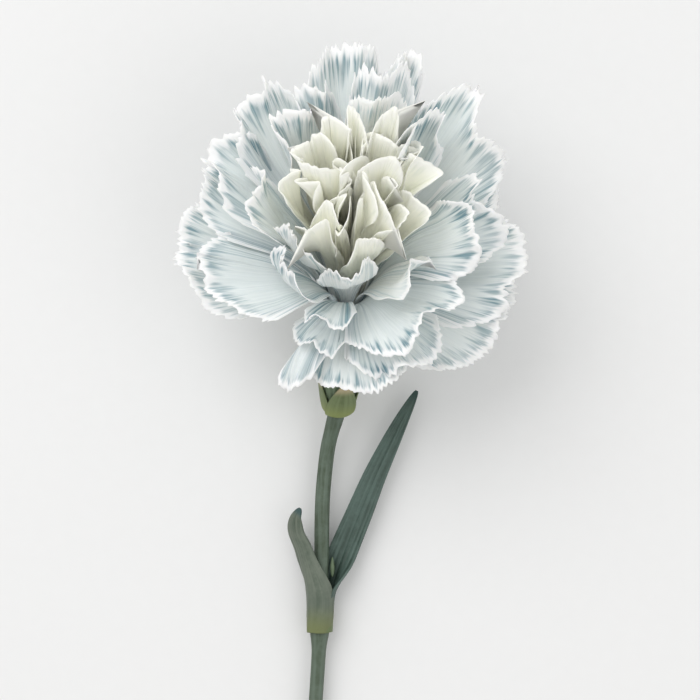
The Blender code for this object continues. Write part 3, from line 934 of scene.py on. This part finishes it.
@dataclass
class Stem:
    """The stem with its swollen joint and slanting cut, the pair of leaves, and the side bud."""

    shop: Workshop
    route: tuple[tuple[float, float, float], ...] = (
        (-13.6, -108.1, 1.4), (-9.9, -68.6, 2.35), (-7.7, -38.6, 3.4), (-6.9, -24.1, 3.9),
        (-6.5, -8.6, 4.1), (-6.3, 4.4, 4.1), (-5.7, 12.4, 4.2), (-4.8, 18.9, 4.8),
    )
    radius: float = 1.72
    cut_radius: float = 1.55
    top_radius: float = 1.95
    joint_radius: float = 2.3
    joint_y: float = -24.1
    joint_spread: float = 3.0
    cut_angle: float = math.radians(40)
    cut_inset: float = 1.5 * MM  # from the end of the route to the middle of the cut
    rib_height: float = 0.025 * MM
    half_round: float = 5.4  # half way round on the tissue map, mm
    mapped_length: float = 134.0  # mm

    def centre(self, t: float) -> Vector:
        """Point of the centre line: t from 0 at the cut end to 1 at the calyx."""
        return through([Vector(p) * MM for p in self.route] + [HEAD.foot], t)

    def radius_at(self, point: Vector, t: float) -> float:
        """The stem's radius there, in metres."""
        plain = mix(self.cut_radius, self.radius, smooth_step(t * 1.6))
        flare = (self.top_radius - self.radius) * smooth_step((t - 0.9) / 0.1)
        swelling = math.exp(-(((point.y / MM - self.joint_y) / self.joint_spread) ** 2))
        return (plain + flare + (self.joint_radius - self.radius) * swelling) * MM

    def tube(self, t: float, v: float) -> Vector:
        """Point of the stem's skin, with faint lengthwise ribs."""
        centre = self.centre(t)
        along = (self.centre(min(t + 0.004, 1.0)) - self.centre(max(t - 0.004, 0.0))).normalized()
        side = along.cross(Vector((0, 0, 1))).normalized()
        angle = math.pi * v
        ribs = self.rib_height * math.cos(angle * 9)
        out = side * math.cos(angle) + side.cross(along) * math.sin(angle)
        return centre + out * (self.radius_at(centre, t) + ribs)

    def marks(self, u: float, v: float) -> tuple[float, float]:
        """Tissue map of the stem."""
        return v * self.half_round, (1 - u) * self.mapped_length

    def build(self) -> int:
        """Makes the stem, leaves and bud, and returns how many pieces they are."""
        leaves = {"leaf_long": LONG_LEAF, "leaf_short": SHORT_LEAF}
        self.stalk()
        for name, leaf in leaves.items():
            mesh = self.shop.sheet(f"veined_{name}", leaf.at, leaf.marks, (56, 150))
            made = self.shop.piece(mesh.name, mesh, leaf.finish, "leaf_green", [name])
            self.shop.wall(made, leaf.wall)
        self.bud()
        return 2 + len(leaves)

    def stalk(self) -> None:
        """The stem itself, cut on a slant."""
        mesh = self.shop.sheet("waxy_stem", self.tube, self.marks, (48, 220))
        solid = bmesh.new()
        solid.from_mesh(mesh)
        along = (self.centre(0.02) - self.centre(0.0)).normalized()
        slant = along * math.cos(self.cut_angle) + Vector((0, 0, math.sin(self.cut_angle)))
        parts = solid.verts[:] + solid.edges[:] + solid.faces[:]
        place = self.centre(0.0) + along * self.cut_inset
        bmesh.ops.bisect_plane(solid, geom=parts, plane_co=place, plane_no=slant, clear_inner=True)
        bmesh.ops.holes_fill(solid, edges=solid.edges, sides=0)
        bmesh.ops.recalc_face_normals(solid, faces=solid.faces)
        solid.to_mesh(mesh)
        solid.free()
        self.shop.piece(mesh.name, mesh, Finish.STEM, "stem_green", ["stem"])

    def bud(self) -> None:
        """A small pointed bud in the axil of the long leaf."""
        low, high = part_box("axillary_bud")
        middle, half = (low + high) / 2, (high - low) / 2

        def surface(u: float, v: float) -> Vector:
            """Point of the bud's skin."""
            angle = math.pi * v
            swell = math.sin(math.pi * u) ** 0.7 * (1.15 - 0.5 * u)
            out = Vector((math.cos(angle) * swell * half.x, 0.0, math.sin(angle) * swell * half.z))
            return middle + out + Vector((0.0, (2 * u - 1) * half.y, 0.0))

        mesh = self.shop.sheet("scaly_bud", surface, lambda u, v: (v * 1.5, 8 + (1 - u) * 4), (24, 24))
        self.shop.piece(mesh.name, mesh, Finish.CALYX, "stem_green", ["axillary_bud"])


# ---- Studio -------------------------------------------------------------------------------------
@dataclass
class Studio:
    """A pale floor, soft light from all round, and a camera that looks straight down."""

    view_width: float = 152 * MM
    view_centre: Vector = Vector((0.1, 40.3, 35.0)) * MM
    lens: float = 120.0
    sensor: float = 36.0
    board: tuple[str, str] = ("#E3E3E3", "#E5E5E5")
    board_half: float = 3.0
    sky: str = "#F5F5F4"
    sky_strength: float = 0.86
    lamp_size: float = 0.9
    lamps: tuple[tuple[str, tuple[float, float, float], float], ...] = (  # name, place and power
        ("window", (-0.45, 0.55, 0.85), 5.0),
        ("fill", (0.6, -0.2, 0.8), 1.4),
    )

    def floor(self) -> None:
        """The surface that the flower lies on."""
        shape = bmesh.new()
        bmesh.ops.create_grid(shape, x_segments=1, y_segments=1, size=self.board_half)
        mesh = bpy.data.meshes.new("studio_floor")
        shape.to_mesh(mesh)
        shape.free()
        paint = Painter("matt_white_board")
        grain = paint.noise(paint.add("ShaderNodeTexCoord").outputs["Object"], 300.0)
        paint.colour(paint.blend(grain, *self.board))
        paint.set(Roughness=0.9, Specular_IOR_Level=0.1)
        mesh.materials.append(paint.material)
        made = bpy.data.objects.new("studio_floor", mesh)
        bpy.context.scene.collection.objects.link(made)

    def light(self, name: str, place: tuple[float, float, float], power: float) -> None:
        """An area light that aims at the bloom."""
        lamp = bpy.data.lights.new(name, "AREA")
        lamp.shape = "DISK"
        lamp.size = self.lamp_size
        lamp.energy = power
        made = bpy.data.objects.new(name, lamp)
        made.location = place
        made.rotation_mode = "QUATERNION"
        made.rotation_quaternion = (HEAD.centre - Vector(place)).to_track_quat("-Z", "Y")
        bpy.context.scene.collection.objects.link(made)

    def build(self) -> None:
        """Sets up the floor, the lights and the camera."""
        scene = bpy.context.scene
        self.floor()
        world = bpy.data.worlds.new("soft_studio")
        world.use_nodes = True
        sky = world.node_tree.nodes["Background"]
        sky.inputs["Color"].default_value = linear(self.sky)
        sky.inputs["Strength"].default_value = self.sky_strength
        scene.world = world
        for lamp in self.lamps:
            self.light(*lamp)
        camera = bpy.data.cameras.new("camera")
        camera.lens = self.lens
        camera.sensor_width = self.sensor
        camera.clip_start = 0.01
        eye = bpy.data.objects.new("camera", camera)
        eye.location = self.view_centre + Vector((0, 0, self.view_width * self.lens / self.sensor))
        scene.collection.objects.link(eye)
        scene.camera = eye
        scene.view_settings.view_transform = "Standard"
        scene.view_settings.look = "None"


def main() -> None:
    """Builds the flower and the studio, and reports each part."""
    logging.basicConfig(level=logging.INFO, format="%(message)s")
    shop = Workshop()
    LOG.info("bloom: %d petals", Bloom(shop).build())
    LOG.info("calyx: %d pieces", Calyx(shop).build())
    LOG.info("stem: %d pieces", Stem(shop).build())
    receptacle = bpy.data.objects["receptacle"]
    receptacle.data.materials.clear()
    receptacle.data.materials.append(shop.finish(Finish.STEM))
    Studio().build()


if __name__ == "__main__":
    main()
